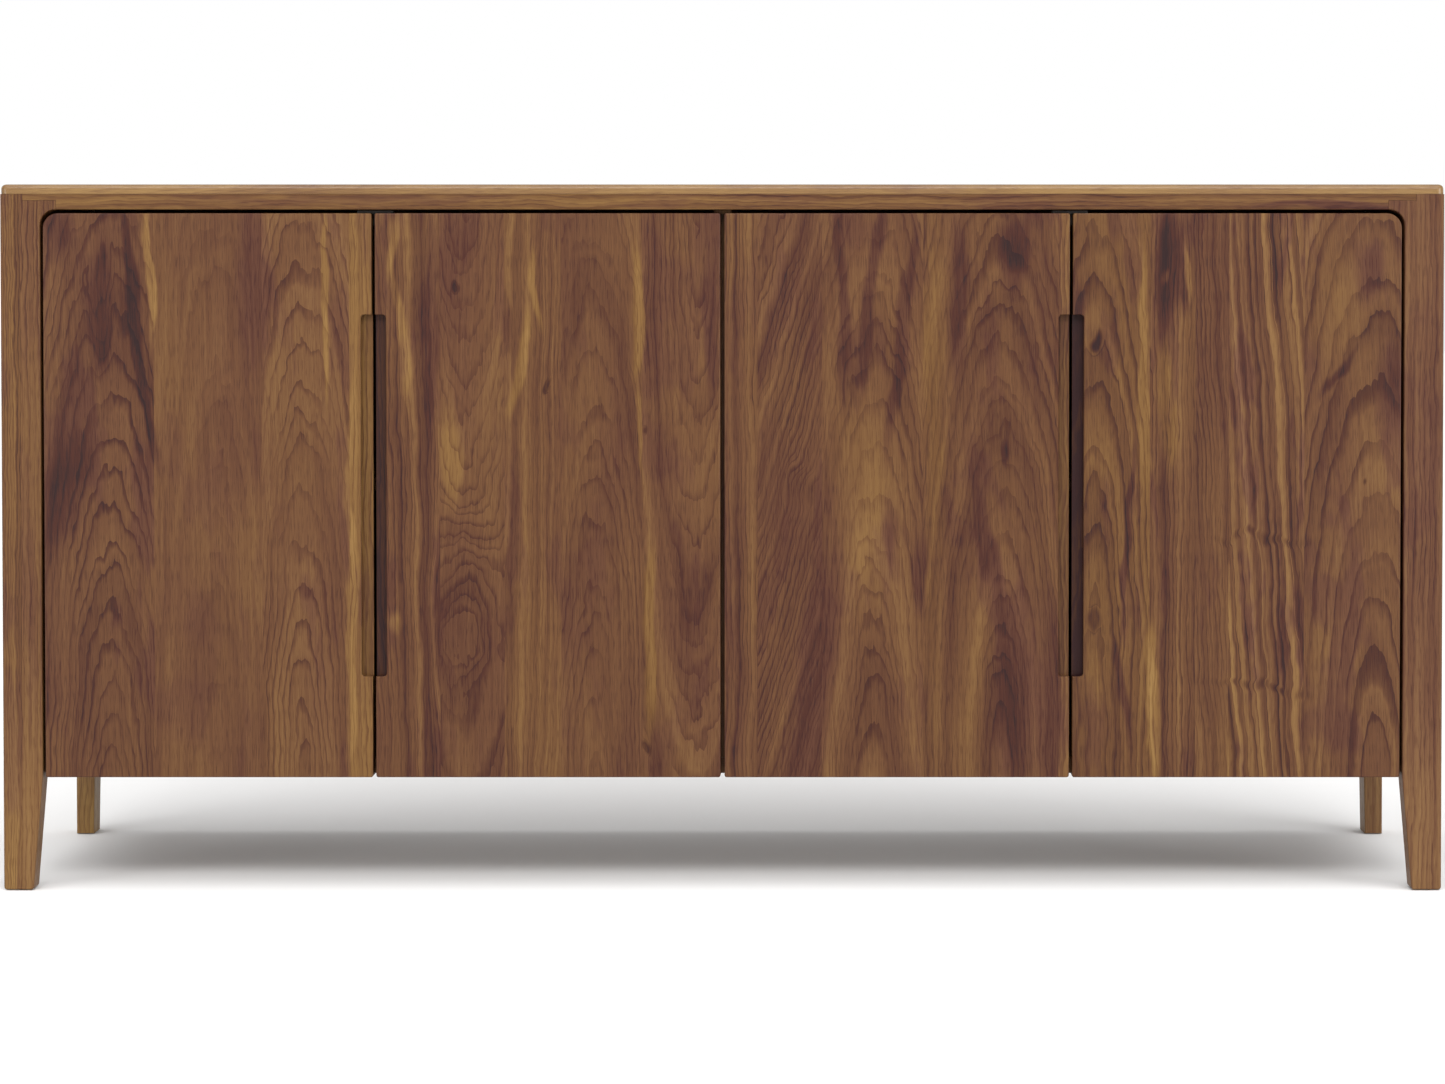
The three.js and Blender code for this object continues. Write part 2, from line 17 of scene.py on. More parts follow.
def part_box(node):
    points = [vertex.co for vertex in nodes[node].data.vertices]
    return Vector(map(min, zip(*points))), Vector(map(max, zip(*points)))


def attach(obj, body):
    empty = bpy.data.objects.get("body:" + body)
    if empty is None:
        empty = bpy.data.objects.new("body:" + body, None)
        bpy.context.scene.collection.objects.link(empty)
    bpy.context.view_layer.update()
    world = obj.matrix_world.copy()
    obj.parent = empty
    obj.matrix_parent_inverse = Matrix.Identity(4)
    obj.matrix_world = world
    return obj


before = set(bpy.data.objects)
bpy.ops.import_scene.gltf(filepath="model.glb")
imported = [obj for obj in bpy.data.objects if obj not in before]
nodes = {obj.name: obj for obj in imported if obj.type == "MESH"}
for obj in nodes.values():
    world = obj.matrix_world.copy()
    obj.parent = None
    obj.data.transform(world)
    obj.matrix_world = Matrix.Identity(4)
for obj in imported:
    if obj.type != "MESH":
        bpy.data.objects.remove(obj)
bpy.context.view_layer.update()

MM = 0.001

# %% [markdown]
# ## Sums that become shader nodes
# A wood pattern is mostly arithmetic. Built by hand in the node editor it would take hundreds of Math
# nodes, so a small class stands for a socket instead: adding or multiplying two of them adds the node and
# the links. Every other kind of node comes from one method, which sets its options before its sockets.

# %% A socket that understands arithmetic
class Value:
    def __init__(self, graph, socket):
        self.graph = graph
        self.socket = socket

    def also(self, name):
        """Another output of the same node."""
        return Value(self.graph, self.socket.node.outputs[name])

    def __add__(self, other):
        return self.graph.math("ADD", self, other)

    def __radd__(self, other):
        return self.graph.math("ADD", other, self)

    def __sub__(self, other):
        return self.graph.math("SUBTRACT", self, other)

    def __rsub__(self, other):
        return self.graph.math("SUBTRACT", other, self)

    def __mul__(self, other):
        return self.graph.math("MULTIPLY", self, other)

    def __rmul__(self, other):
        return self.graph.math("MULTIPLY", other, self)


# %% A material's graph
class Graph:
    def __init__(self, owner):
        owner.use_nodes = True
        self.owner = owner
        self.tree = owner.node_tree
        self.shader = self.tree.nodes.get("Principled BSDF")

    def node(self, kind, settings=None, sockets=None, output=0):
        """Adds a node: its settings first, then the values or links of its sockets."""
        made = self.tree.nodes.new(kind)
        for key, value in (settings or {}).items():
            if key == "stops":
                self.set_stops(made.color_ramp, value)
            else:
                setattr(made, key, value)
        for key, value in (sockets or {}).items():
            self.feed(made.inputs[key], value)
        return Value(self, made.outputs[output])

    def feed(self, socket, value):
        if isinstance(value, Value):
            self.tree.links.new(value.socket, socket)
        else:
            socket.default_value = value

    @staticmethod
    def set_stops(ramp, stops):
        while len(ramp.elements) < len(stops):
            ramp.elements.new(0.5)
        for element, (position, colour) in zip(ramp.elements, stops):
            element.position = position
            element.color = colour

    def math(self, operation, *terms):
        return self.node("ShaderNodeMath", {"operation": operation}, dict(enumerate(terms)))

    def smooth(self, value, low, high):
        """0 below low and 1 above high, with an easy curve between."""
        return self.node("ShaderNodeMapRange", {"interpolation_type": "SMOOTHSTEP"},
                         {"Value": value, "From Min": low, "From Max": high})

    def vector(self, x=0.0, y=0.0, z=0.0):
        return self.node("ShaderNodeCombineXYZ", None, {"X": x, "Y": y, "Z": z})

    def noise(self, place, detail=1.0, roughness=0.5):
        """Cloudy noise around zero, from about -0.5 to 0.5."""
        return self.node("ShaderNodeTexNoise", None, {
            "Vector": place, "Scale": 1.0, "Detail": detail, "Roughness": roughness}) - 0.5

    def noise_line(self, place, detail=1.0):
        return self.node("ShaderNodeTexNoise", {"noise_dimensions": "1D"}, {
            "W": place, "Scale": 1.0, "Detail": detail}) - 0.5

    def blend(self, share, first, second):
        """A colour between two colours."""
        return self.node("ShaderNodeMix", {"data_type": "RGBA"}, {0: share, 6: first, 7: second}, output=2)

    def bump(self, height, strength, distance):
        return self.node("ShaderNodeBump", None, {
            "Strength": strength, "Distance": distance, "Height": height})


def new_graph(name):
    return Graph(bpy.data.materials.new(name))


print("graph tools ready")

# %% [markdown]
# ## Where the camera stands
# A catalogue view of furniture is taken from far away with a long lens, square to the front, so that
# uprights stay upright. The camera looks down by little more than a degree, and the lens shift then puts
# the sideboard in the upper middle of the frame.

# %% Camera
camera_data = bpy.data.cameras.new("studio_camera")
camera_data.sensor_width = 36.0
camera_data.lens = 82.886
camera_data.shift_x = -0.05135
camera_data.shift_y = -0.125
camera = bpy.data.objects.new("studio_camera", camera_data)
camera.location = (0.0943, -4.4504, 0.781)
camera.rotation_euler = (math.radians(88.543), 0.0, 0.0)
bpy.context.scene.collection.objects.link(camera)
bpy.context.scene.camera = camera
print("camera", tuple(round(c, 3) for c in camera.location))

# %% [markdown]
# ## The studio
# The sideboard stands in front of a lit white wall, in a room that is dimmer towards the camera, so the
# world is white behind it and grey in front. Even light from overhead brightens the top's edge and burns
# the open floor out to white. A far lamp at the front right lights the doors evenly, and leaves the
# right-hand side of each finger grip in shade, and a broad one in front lifts the doors' upper half. Two
# low ones reach in under the case, to the back legs.

# %% World
ROOM_LEVEL = 0.62
WALL_EDGE = (0.68, 0.92)
world = bpy.data.worlds.new("white_studio")
studio = Graph(world)
direction = studio.node("ShaderNodeTexCoord", output="Generated")
towards_wall = studio.node("ShaderNodeSeparateXYZ", None, {0: direction}).also("Y")
strength = ROOM_LEVEL + studio.smooth(towards_wall, *WALL_EDGE) * (1.0 - ROOM_LEVEL)
background = studio.tree.nodes["Background"]
background.inputs["Color"].default_value = (1.0, 1.0, 1.0, 1.0)
studio.feed(background.inputs["Strength"], strength)
bpy.context.scene.world = world
bpy.context.scene.view_settings.view_transform = "Standard"
print("world: white wall, room at", ROOM_LEVEL)

# %% Lamps
def lamp(kind, name, place, aim, power):
    data = bpy.data.lights.new(name, kind)
    data.energy = power
    holder = bpy.data.objects.new(name, data)
    holder.location = place
    holder.rotation_euler = (Vector(aim) - Vector(place)).to_track_quat("-Z", "Y").to_euler()
    bpy.context.scene.collection.objects.link(holder)
    return data


def soft_box(name, place, aim, power, width, height):
    """A rectangular lamp with a soft edge to its shadows."""
    box = lamp("AREA", name, place, aim, power)
    box.shape = "RECTANGLE"
    box.size = width
    box.size_y = height


def wide_sun(name, place, power, angle):
    """Even light from the side of place, with shadows as soft as the angle is wide."""
    sun = lamp("SUN", name, place, (0.0, 0.0, 0.0), power)
    sun.angle = math.radians(angle)


soft_box("front_lamp", (0.0, -3.2, 2.9), (0.0, 0.0, 0.6), 86.0, 3.6, 1.0)
soft_box("low_lamp_left", (-3.6, -3.2, 0.8), (0.0, 0.1, 0.1), 58.0, 1.6, 0.8)
soft_box("low_lamp_right", (3.6, -3.2, 0.8), (0.0, 0.1, 0.1), 58.0, 1.6, 0.8)
wide_sun("overhead_lamp", (0.0, -1.25, 3.0), 2.7, 80)
wide_sun("far_lamp", (4.0, -2.8, 0.9), 1.0, 22)
print("lamps:", [lamp.name for lamp in bpy.data.lights])

# %% [markdown]
# ## The floor
# A pale floor, wide enough that its far edge is lost in the white. A faint mottle keeps it from being a
# single value where the sideboard's soft shadow falls on it.

# %% Floor
floor_mesh = bpy.data.meshes.new("floor")
build = bmesh.new()
bmesh.ops.create_grid(build, x_segments=8, y_segments=8, size=30.0)
build.to_mesh(floor_mesh)
build.free()
floor = bpy.data.objects.new("floor", floor_mesh)
bpy.context.scene.collection.objects.link(floor)

graph = new_graph("pale_floor")
where = graph.node("ShaderNodeTexCoord", output="Object")
mottle = graph.noise(where, detail=2.0)
graph.feed(graph.shader.inputs["Base Color"],
           graph.blend(mottle + 0.5, (0.71, 0.704, 0.698, 1.0), (0.75, 0.746, 0.742, 1.0)))
graph.shader.inputs["Roughness"].default_value = 0.85
graph.shader.inputs["Specular IOR Level"].default_value = 0.2
floor_mesh.materials.append(graph.owner)
print("floor", tuple(floor.dimensions))

# %% [markdown]
# ## Smooth edges on the solid parts
# The solid model's rounded edges are made of narrow flats. The renderer can carry the light smoothly over
# them, as a sanded edge does: the loose triangles are welded, edges sharper than a limit are split so that
# they stay crisp, and the normals are weighted by face size so that broad faces stay flat.

# %% Soften the solid parts
SHARP = math.radians(38)


def soften(part):
    part.data.polygons.foreach_set("use_smooth", [True] * len(part.data.polygons))
    weld = part.modifiers.new("weld", "WELD")
    weld.merge_threshold = 0.00001
    split = part.modifiers.new("crisp_edges", "EDGE_SPLIT")
    split.split_angle = SHARP
    normals = part.modifiers.new("even_normals", "WEIGHTED_NORMAL")
    normals.weight = 100


for part in nodes.values():
    soften(part)
print("softened", len(nodes), "parts")

# %% [markdown]
# ## Walnut's colours
# Oiled walnut runs from a purple-black heartwood through chocolate brown to tan, and the pale sapwood
# under the bark is golden. Two ramps hold those shades, one leaning to purple and one to gold, and each
# spot on the wood is a mix of the two at the same tone. The colours are written as they look under white
# light; the sheen of the finish adds a veil of white, so the wood itself is made that much deeper.

# %% Two walnut ramps
SHEEN_VEIL = 0.013
LIGHT_LEVEL = 1.68


def linear(channel):
    share = channel / 255.0
    return share / 12.92 if share <= 0.04045 else ((share + 0.055) / 1.055) ** 2.4


def shade(red, green, blue):
    """A colour under the finish, from the red, green and blue (0 to 255) that it should look."""
    deep = [max(linear(c) / LIGHT_LEVEL - SHEEN_VEIL, 0.003) for c in (red, green, blue)]
    return (*deep, 1.0)


PURPLE_WALNUT = [
    (0.00, shade(58, 37, 35)), (0.25, shade(81, 53, 47)), (0.50, shade(104, 72, 58)),
    (0.75, shade(126, 93, 71)), (1.00, shade(148, 114, 87)),
]
GOLDEN_WALNUT = [
    (0.00, shade(66, 45, 30)), (0.25, shade(88, 62, 40)), (0.50, shade(112, 81, 53)),
    (0.75, shade(134, 101, 64)), (1.00, shade(157, 124, 78)),
]
print("mid walnut", [round(c, 3) for c in PURPLE_WALNUT[2][1]])

# %% [markdown]
# ## How a board gets its figure
# A tree's growth rings are long cones round its heart. A saw cut near the heart slices them into nested
# arches, called cathedrals; a cut further out gives straight lines. So each board is described by where
# the heart lies behind it: how far across, how deep, and how fast it comes nearer along the board. The
# distance from the heart then drives the broad bands and the thin ring lines, and noise bends them.

# %% Boards and marks
Board = namedtuple(
    "Board", "edge heart apex lean depth slope tone warmth contrast band ring year seed",
)
Mark = namedtuple("Mark", "across along wide tall lean tone warmth rings soft")


def board(edge, heart, apex=360.0, lean=0.0, depth=40.0, slope=0.0, tone=0.5, warmth=0.5,
          contrast=0.3, band=14.0, ring=0.26, year=6.5, seed=0.0):
    """One board, from edge to the next board's edge, with its heart at heart across (millimetres)."""
    return Board(edge, heart, apex, lean, depth, slope, tone, warmth, contrast, band, ring, year, seed)


def mark(across, along, wide, tall, lean=0.0, tone=0.0, warmth=0.0, rings=0.0, soft=0.7):
    """A stain, streak or knot: an ellipse, leaning by degrees, that shifts tone, warmth or the rings."""
    return Mark(across, along, wide, tall, lean, tone, warmth, rings, soft)


def pick(graph, steps, rows):
    """Three of a board's numbers: the last row whose step is reached."""
    chosen = rows[0]
    for step, row in zip(steps, rows[1:]):
        chosen = graph.node("ShaderNodeMix", {"data_type": "VECTOR"},
                            {0: step, 4: chosen, 5: row}, output=1)
    if not isinstance(chosen, Value):
        return chosen
    parts = graph.node("ShaderNodeSeparateXYZ", None, {0: chosen})
    return parts, parts.also("Y"), parts.also("Z")


print("board and mark ready")

# %% [markdown]
# ## Stains, streaks and knots
# Walnut is prized for its accidents: purple clouds, a strip of sapwood, a knot with the rings flowing
# round it. Each is an ellipse on the board. The place is shaken by noise first, so that its outline wanders
# as a real stain's does.

# %% The marks on a board
MARK_STRENGTH = {"tone": 0.95, "warmth": 0.9, "rings": 1.0}
SHAKE = (30.0, 70.0, 0.0)


def mark_shifts(graph, across, along, marks):
    """The marks' shifts of tone, warmth and rings."""
    shake = graph.node("ShaderNodeTexNoise", None, {
        "Vector": graph.vector(across * 0.022, along * 0.009), "Scale": 1.0, "Detail": 2.0}, output="Color")
    shaken = graph.node("ShaderNodeVectorMath", {"operation": "MULTIPLY_ADD"}, {
        0: shake, 1: SHAKE, 2: graph.vector(across - SHAKE[0] / 2, along - SHAKE[1] / 2)})
    shifts = {"tone": 0.0, "warmth": 0.0, "rings": 0.0}
    for each in marks:
        local = graph.node("ShaderNodeMapping", {"vector_type": "TEXTURE"}, {
            "Vector": shaken, "Location": (each.across, each.along, 0.0),
            "Rotation": (0.0, 0.0, math.radians(each.lean)), "Scale": (each.wide, each.tall, 1.0)})
        reach = graph.node("ShaderNodeVectorMath", {"operation": "LENGTH"}, {0: local}, output="Value")
        mask = 1.0 - graph.smooth(reach, 1.0 - each.soft, 1.0 + each.soft)
        for name in shifts:
            amount = getattr(each, name) * MARK_STRENGTH[name]
            if amount:
                shifts[name] = shifts[name] + mask * amount
    return shifts


print("marks ready")

# %% [markdown]
# ## The finger grips' painted shade
# The finger grips' pockets get painted shade: the wood is darkened behind the door's face, more in the
# grips on the right of each pair, where the far lamp's shadow falls. The tone drops with depth, only
# within the grip's reach along the door's edge.

# %% A routed pocket's painted shade
GRIP_SPAN = (126.0, 591.0)
BELOW_FACE = (1.5, 5.0)
BEHIND_GRIP = (13.5, 17.0)


def grip_painted_shade(graph, across, along, deep, pocket):
    """Painted shade in a finger grip: pocket is its range across and how much darker it is painted."""
    (left, right), shift = pocket
    low, high = GRIP_SPAN
    inside = graph.math("GREATER_THAN", across, left) * graph.math("LESS_THAN", across, right)
    inside = inside * graph.math("GREATER_THAN", along, low) * graph.math("LESS_THAN", along, high)
    return inside * graph.smooth(deep, *BELOW_FACE) * (1.0 - graph.smooth(deep, *BEHIND_GRIP)) * shift


print("pocket ready")

# %% [markdown]
# ## Where the rings lie
# The distance from the tree's heart is worked out through the whole thickness of the wood, in
# millimetres, so the figure carries on round every edge. A slow wave bends the line of the heart, as a
# trunk bends, and a fine ruffle roughens each ring. The distance never quite reaches zero, so the arches
# keep rounded tops.

# %% The rings under a board's face
Wood = namedtuple("Wood", "heart apex lean depth slope seed tone warmth contrast band ring years")
NEAREST_HEART = 9.0
HEART_EASE = 16.0
RUFFLE_DEPTH = 13.0
# Cycles of noise to a millimetre, across the grain and along it.
WAVE_PITCH = (0.011, 0.0065)
RUFFLE_PITCH = (0.032, 0.011)


def wood_at(graph, across, boards):
    """The numbers of the board that lies at each place across."""
    steps = [graph.math("GREATER_THAN", across, each.edge) for each in boards[1:]]
    return Wood(
        *pick(graph, steps, [(b.heart, b.apex, b.lean) for b in boards]),
        *pick(graph, steps, [(b.depth, b.slope, b.seed) for b in boards]),
        *pick(graph, steps, [(b.tone, b.warmth, b.contrast) for b in boards]),
        *pick(graph, steps, [(1.0 / b.band, b.ring, 1.0 / b.year) for b in boards]),
    )


def grain_place(graph, spot, pitch, seed):
    """A place in noise that is drawn out along the grain."""
    across, along, deep = spot
    return graph.vector(across * pitch[0], along * pitch[1], deep * pitch[0] + seed)


def ring_distance(graph, spot, wood, shift, wander):
    """How far each place is from the heart of its tree, in millimetres."""
    across, along, deep = spot
    rise = along - wood.apex
    wave = graph.noise(grain_place(graph, spot, WAVE_PITCH, wood.seed), 2.0)
    off = across - wood.heart - wood.lean * rise + wave * wander
    back = graph.math("SMOOTH_MAX", wood.depth + wood.slope * rise, NEAREST_HEART, HEART_EASE) + deep
    ruffle = graph.noise(grain_place(graph, spot, RUFFLE_PITCH, wood.seed), 3.0, 0.62)
    return graph.math("SQRT", off * off + back * back) + shift + ruffle * RUFFLE_DEPTH


print("rings ready")

# %% [markdown]
# ## Lines, bands and fibres
# A ring shows as a thin dark line where the year's growth stopped, stronger in some places than others.
# The rings gather into bands of good years and bad. Slow clouds and purple stains drift over them, then
# come the fibres, drawn out along the grain, and the short dark pores that give walnut its texture.

# %% The layers of the figure
CLOUD_PITCH = (0.012, 0.0035)
FADE_PITCH = (0.02, 0.004)
STAIN_PITCH = (0.02, 0.006)
PORE_PITCH = (0.85, 0.045)
FIBRE_PITCH = (0.4, 0.006, 0.5)
LINE_START = 0.58
FAINTEST_LINE = 0.3


def ring_lines(graph, across, along, rings, wood, bands):
    """1 in the dark line at the end of each year's growth, and less where the line fades."""
    fade = graph.noise(
        graph.vector(across * FADE_PITCH[0], along * FADE_PITCH[1], wood.seed + 9.0), 1.0)
    saw = graph.math("FRACT", rings * wood.years + bands * 2.0)
    strength = graph.smooth(fade, -0.22, 0.22) * (1.0 - FAINTEST_LINE) + FAINTEST_LINE
    return graph.smooth(saw, LINE_START, 1.0) * strength


def figure_layers(graph, spot, rings, wood):
    """Bands, clouds, ring lines, stains, fibres and pores."""
    across, along, deep = spot
    bands = graph.noise_line(rings * wood.band * 0.65 + wood.seed, 2.5)
    cloud = graph.noise(grain_place(graph, spot, CLOUD_PITCH, wood.seed + 4.0), 2.0)
    line = ring_lines(graph, across, along, rings, wood, bands)
    stain = graph.noise(graph.vector(
        across * STAIN_PITCH[0] + rings * 0.012, along * STAIN_PITCH[1], wood.seed + 2.0), 3.0, 0.6)
    fibre = graph.noise(graph.vector(
        rings * 0.12 + across * FIBRE_PITCH[0], along * FIBRE_PITCH[1],
        deep * FIBRE_PITCH[2] + wood.seed), 3.0, 0.66)
    pores = graph.noise(grain_place(graph, spot, PORE_PITCH, 0.0), 1.0)
    return bands, cloud, line, graph.smooth(stain, 0.02, 0.14), fibre, graph.smooth(pores, 0.02, 0.16)


print("layers ready")

# %% [markdown]
# ## The walnut itself
# Tone runs along the two ramps, from dark to light, and warmth mixes the purple one with the golden one.
# The pores are also a little rougher and a little lower than the wood round them. The coordinates are the
# object's own, so the figure stays with a door as the door swings.

# %% The walnut material
TONE = {"bands": 2.0, "stain": 0.25, "cloud": 0.28, "fibre": 0.38, "line": 1.15, "pores": 0.13}
WARMTH = {"bands": 2.0, "stain": 1.3, "cloud": 0.9, "fibre": 0.3}
TONE_LIFT = 0.03
OILED_ROUGHNESS = 0.44


def walnut(name, axes, origin, boards, marks=(), wander=18.0, gloss=0.0, pocket=None):
    """Walnut with its grain along axes[1], its boards side by side along axes[0], from origin (metres)."""
    graph = new_graph(name)
    place = graph.node("ShaderNodeTexCoord", output="Object")
    parts = graph.node("ShaderNodeSeparateXYZ", None, {0: place})
    across, along, deep = spot = [
        (parts.also(axis.upper()) - origin["xyz".index(axis)]) * (1.0 / MM) for axis in axes]
    wood = wood_at(graph, across, boards)
    shifts = mark_shifts(graph, across, along, marks)
    rings = ring_distance(graph, spot, wood, shifts["rings"], wander)
    bands, cloud, line, stain, fibre, pores = figure_layers(graph, spot, rings, wood)

    tone = wood.tone + wood.contrast * (bands * TONE["bands"] - stain * TONE["stain"])
    tone = tone + cloud * TONE["cloud"] + fibre * TONE["fibre"] - line * wood.ring * TONE["line"]
    tone = tone + TONE_LIFT - pores * TONE["pores"] + shifts["tone"]
    # The finger grip's pocket is darkened here: painted shade.
    if pocket:
        tone = tone + grip_painted_shade(graph, across, along, deep, pocket)
    warmth = wood.warmth + wood.contrast * (bands * WARMTH["bands"] - stain * WARMTH["stain"])
    warmth = warmth + cloud * WARMTH["cloud"] + fibre * WARMTH["fibre"] - line * wood.ring
    warmth = warmth + shifts["warmth"]
    purple = graph.node("ShaderNodeValToRGB", {"stops": PURPLE_WALNUT}, {"Fac": tone})
    golden = graph.node("ShaderNodeValToRGB", {"stops": GOLDEN_WALNUT}, {"Fac": tone})
    graph.feed(graph.shader.inputs["Base Color"], graph.blend(warmth, purple, golden))

    graph.feed(graph.shader.inputs["Roughness"],
               OILED_ROUGHNESS + pores * 0.12 + fibre * 0.12 + cloud * 0.06)
    relief = fibre * 0.5 - pores - line * 0.25
    graph.feed(graph.shader.inputs["Normal"], graph.bump(relief, 0.22, 0.0002))
    graph.shader.inputs["Specular IOR Level"].default_value = 0.2
    graph.shader.inputs["Coat Weight"].default_value = gloss
    graph.shader.inputs["Coat Roughness"].default_value = 0.3
    return graph.owner


def finish_with(material, *names):
    """Gives one material to the named solid parts."""
    for name in names:
        slots = nodes[name].data.materials
        if slots:
            slots[0] = material
        else:
            slots.append(material)


print("walnut ready")

# %% [markdown]
# ## The left outer door
# Each door front is glued up from four or five boards of different widths, chosen for their figure and
# not matched, which is what makes the front lively. Going across, this one has a tan board with a purple
# heart and arches low down, a quiet brown one, one with a tall cathedral, and a narrow strip of sapwood.
# The marks that follow the boards are its dark streaks and pale slivers.

# %% Left outer door
# The last number of each door is the painted shade in its finger grip, strongest where the lamp's shadow
# falls.
def finish_door(name, boards, marks, grip, shift):
    """Walnut for a door; grip is its finger grip's range across, and shift is the painted shade in there.
    """
    material = walnut(f"walnut_{name}", "xzy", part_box(name)[0], boards, marks, pocket=(grip, shift))
    finish_with(material, name)
    print(name, "has", len(boards), "boards")


finish_door("door_outer_left", [
    board(0, 85, apex=385, depth=70, slope=0.13, tone=0.46, warmth=0.42, contrast=0.3, band=15,
          ring=0.26, year=6, seed=1.3),
    board(140, 217, apex=550, depth=70, slope=0.09, tone=0.47, warmth=0.45, contrast=0.14, band=9,
          ring=0.08, seed=2.7),
    board(277, 330, apex=475, depth=62, slope=0.12, tone=0.53, warmth=0.5, contrast=0.24, band=14,
          ring=0.24, year=6, seed=3.1),
    board(388, -260, depth=10, tone=0.66, warmth=0.95, contrast=0.22, band=7, seed=4.9),
], [
    mark(20, 686, 14, 32, tone=-0.22, warmth=-0.5),
    mark(72, 600, 13, 76, tone=-0.2, warmth=-0.5, rings=9, soft=0.5),
    mark(28, 365, 24, 80, lean=-24, tone=-0.22, warmth=-0.5),
    mark(112, 655, 7, 70, lean=6, tone=-0.3, warmth=-0.5, soft=0.5),
    mark(127, 505, 6, 100, lean=9, tone=-0.26, warmth=-0.5, soft=0.5),
    mark(134, 640, 5, 90, lean=2, tone=0.3, warmth=0.6, soft=0.4),
    mark(268, 640, 16, 90, tone=-0.12, warmth=-0.5),
    mark(358, 600, 4, 110, tone=0.22, warmth=0.7, soft=0.4),
    mark(391, 200, 5, 260, tone=0.16, warmth=0.4, soft=0.4),
], (380, 430), -0.05)

# %% [markdown]
# ## The left inner door
# Five narrow boards. The second has an eye, where the saw passed just in front of a branch, and the last
# has a sliver of yellow sapwood along its joint.

# %% Left inner door
finish_door("door_inner_left", [
    board(0, -90, depth=30, lean=-0.02, tone=0.43, warmth=0.38, contrast=0.3, band=11, ring=0.22, seed=5.2),
    board(82, 115, apex=540, depth=50, slope=-0.11, tone=0.48, warmth=0.4, contrast=0.18, band=12,
          ring=0.17, year=5, seed=6.4),
    board(164, 90, depth=25, lean=0.02, tone=0.5, warmth=0.58, contrast=0.22, band=8, ring=0.16,
          year=4.5, seed=7.1),
    board(236, 278, apex=300, depth=42, slope=0.1, tone=0.46, warmth=0.46, contrast=0.16, band=13,
          ring=0.17, year=5.5, seed=8.8),
    board(339, 408, apex=330, depth=45, slope=-0.1, tone=0.46, warmth=0.42, contrast=0.2, band=12,
          ring=0.18, year=5.5, seed=9.5),
], [
    mark(24, 665, 6, 45, lean=-6, tone=0.3, warmth=0.5, soft=0.5),
    mark(35, 560, 6, 75, lean=6, tone=0.26, warmth=0.5, soft=0.5),
    mark(71, 590, 9, 125, tone=-0.22, warmth=-0.5, soft=0.5),
    mark(22, 202, 8, 10, tone=0.25, warmth=0.6),
    mark(104, 634, 4, 6, tone=-0.4, rings=8),
    mark(94, 410, 11, 62, tone=0.2, warmth=0.6, soft=0.5),
    mark(112, 205, 34, 96, rings=34, tone=-0.12, warmth=-0.25, soft=0.95),
    mark(170, 575, 6, 30, tone=-0.25, warmth=-0.4),
    mark(205, 615, 5, 45, lean=5, tone=0.24, warmth=0.7, soft=0.5),
    mark(184, 525, 6, 60, lean=-10, tone=0.22, warmth=0.7, soft=0.5),
    mark(216, 502, 4, 7, tone=-0.35, rings=7),
    mark(332, 590, 7, 66, tone=0.22, warmth=0.9, soft=0.5),
    mark(336, 440, 3, 60, tone=0.2, warmth=0.6, soft=0.4),
    mark(346, 175, 8, 105, tone=0.2, warmth=0.95, soft=0.5),
    mark(343, 449, 3, 5, tone=-0.35, rings=6),
    mark(345, 39, 4, 7, tone=-0.35, rings=6),
    mark(428, 600, 9, 110, tone=-0.15, warmth=-0.5),
], (-10, 30), -0.28)

# %% [markdown]
# ## The right inner door
# Between two narrow strips lie a quiet board with slanting grain, a broad one whose dark and light
# stripes run out into a pale flame, and a wide one with purple flames rising through olive brown.

# %% Right inner door
finish_door("door_inner_right", [
    board(0, -200, depth=20, tone=0.49, warmth=0.5, contrast=0.16, band=9, seed=10.6),
    board(42, -60, apex=300, depth=30, lean=0.3, tone=0.42, warmth=0.32, contrast=0.2, band=10, seed=11.2),
    board(124, 190, apex=330, depth=60, slope=0.12, tone=0.51, warmth=0.52, contrast=0.23, band=15,
          ring=0.18, year=5.5, seed=12.9),
    board(252, 353, apex=357, depth=60, slope=0.15, tone=0.46, warmth=0.5, contrast=0.25, band=14,
          ring=0.19, year=6, seed=13.3),
    board(424, -100, depth=20, tone=0.58, warmth=0.75, contrast=0.3, band=7, seed=14.7),
], [
    mark(92, 377, 16, 24, rings=10, tone=-0.06),
    mark(112, 120, 20, 130, lean=-8, tone=-0.14, warmth=-0.6, soft=0.8),
    mark(150, 600, 8, 110, lean=3, tone=-0.2, warmth=-0.5, soft=0.5),
    mark(186, 610, 8, 120, lean=-6, tone=-0.2, warmth=-0.5, soft=0.5),
    mark(226, 560, 9, 130, lean=-8, tone=-0.2, warmth=-0.5, soft=0.5),
    mark(168, 300, 30, 150, tone=0.05, warmth=0.15, soft=0.8),
    mark(213, 305, 9, 42, lean=6, tone=-0.22, warmth=-0.6),
    mark(249, 262, 9, 40, lean=4, tone=-0.2, warmth=-0.6),
    mark(296, 610, 11, 86, tone=-0.24, warmth=-0.7),
    mark(367, 666, 16, 42, tone=-0.26, warmth=-0.7),
    mark(355, 410, 5, 16, tone=-0.28, warmth=-0.6),
    mark(335, 285, 9, 76, lean=14, tone=-0.2, warmth=-0.7, soft=0.6),
    mark(366, 150, 26, 110, lean=-4, tone=-0.16, warmth=-0.7, soft=0.8),
    mark(408, 90, 24, 110, tone=-0.12, warmth=-0.6, soft=0.8),
    mark(265, 400, 12, 260, tone=0.06, warmth=0.4, soft=0.8),
], (400, 450), -0.06)

# %% [markdown]
# ## The right outer door
# The showiest of the four: golden loops beside the grip, a boldly striped board that leans as it comes
# down, and a large cathedral against the frame.

